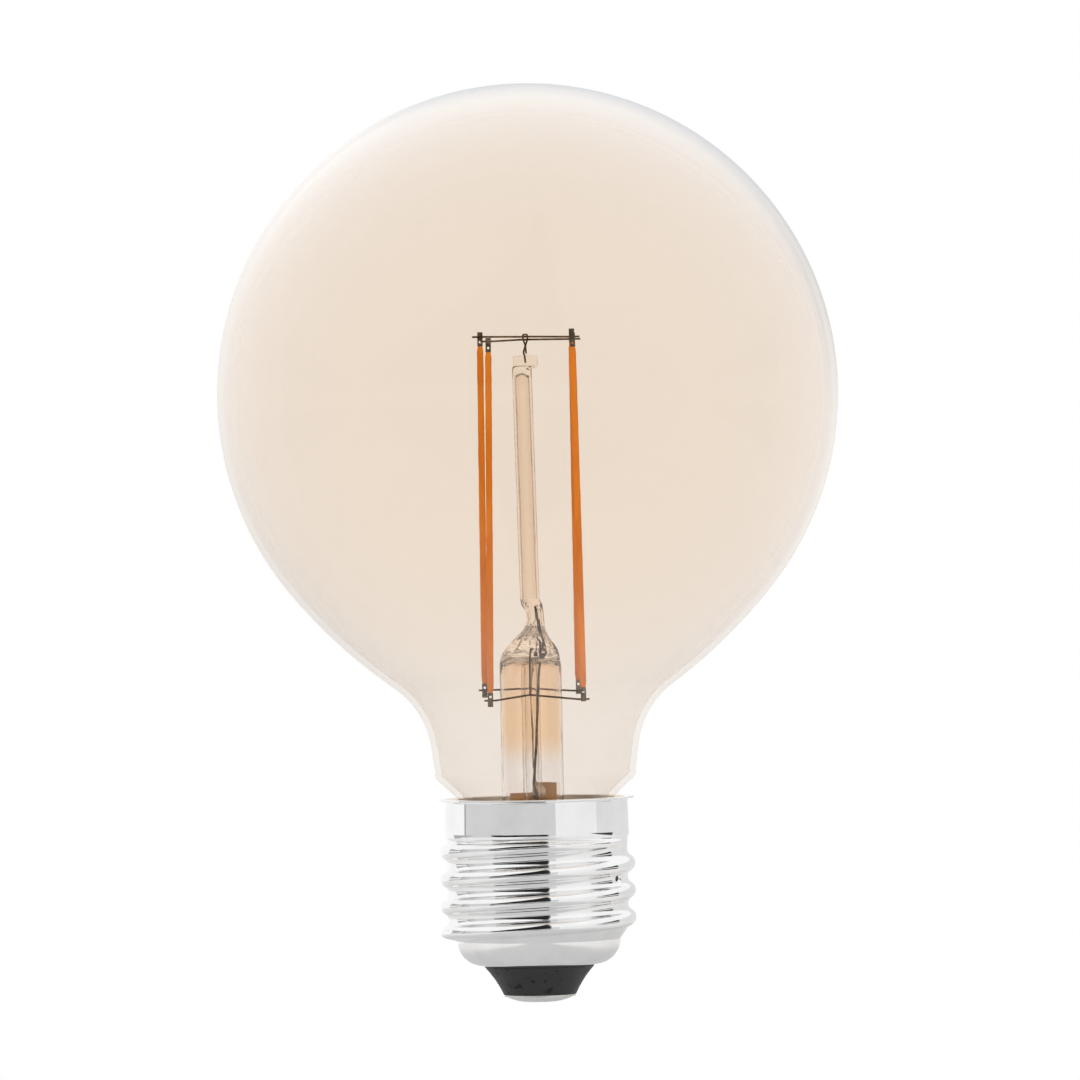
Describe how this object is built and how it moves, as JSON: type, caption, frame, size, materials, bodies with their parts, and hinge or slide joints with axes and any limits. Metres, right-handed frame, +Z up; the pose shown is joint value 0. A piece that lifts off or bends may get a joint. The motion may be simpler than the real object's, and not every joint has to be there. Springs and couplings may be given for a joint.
{
  "type": "globe bulb",
  "caption": "Clear globe lamp with a screw cap: blown glass envelope, upright filament strips on a glass stem, and a driver hidden in the cap.",
  "frame": {"origin": "the lowest point of the centre contact, on the cap's axis", "axes": "+Z runs up the cap's axis into the globe, +X to the right and -Y towards whoever looks at the front"},
  "size_m": [0.083, 0.083, 0.1227],
  "materials": {
    "clear_glass": "clear, faintly amber",
    "stem_glass": "clear, pressed, faintly amber",
    "cap_metal": "bright nickel",
    "black_glass": "opaque black, glossy",
    "contact_metal": "tinned",
    "solder": "dull, slightly grainy",
    "cement": "hard cement",
    "phosphor": "amber coated",
    "tab_metal": "stamped",
    "nickel_wire": "dark, oxidised",
    "lead_wire": "dull",
    "board": "lacquered laminate",
    "component_can": "sleeved can",
    "component_black": "moulded",
    "component_green": "coated"
  },
  "bodies": {
    "root": {"bottom_back_wire": "nickel_wire", "bottom_front_wire": "nickel_wire", "bridge_rectifier": "component_black", "bridge_rectifier_legs": "lead_wire", "cap_shell": "cap_metal", "capacitor": "component_can", "capacitor_lead_left": "lead_wire", "capacitor_lead_right": "lead_wire", "cement_ring": "cement", "chip_resistors": "component_black", "contact_plate": "contact_metal", "driver_board": "board", "driver_chip": "component_black", "driver_chip_legs": "lead_wire", "exhaust_tube": "stem_glass", "filament_left_back": "phosphor", "filament_left_back_crown_tab": "tab_metal", "filament_left_back_foot_tab": "tab_metal", "filament_left_front": "phosphor", "filament_left_front_crown_tab": "tab_metal", "filament_left_front_foot_tab": "tab_metal", "filament_right_back": "phosphor", "filament_right_back_crown_tab": "tab_metal", "filament_right_back_foot_tab": "tab_metal", "filament_right_front": "phosphor", "filament_right_front_crown_tab": "tab_metal", "filament_right_front_foot_tab": "tab_metal", "fusible_resistor": "component_green", "glass_globe": "clear_glass", "hook_wire": "nickel_wire", "inner_lead_back": "nickel_wire", "inner_lead_front": "nickel_wire", "insulator": "black_glass", "live_wire": "lead_wire", "neutral_wire": "lead_wire", "outer_lead_back": "lead_wire", "outer_lead_front": "lead_wire", "resistor_lead_lower": "lead_wire", "resistor_lead_upper": "lead_wire", "solder_dome": "solder", "stem": "stem_glass", "support_pillar": "stem_glass", "top_back_wire": "nickel_wire", "top_front_wire": "nickel_wire"}
  },
  "joints": []
}
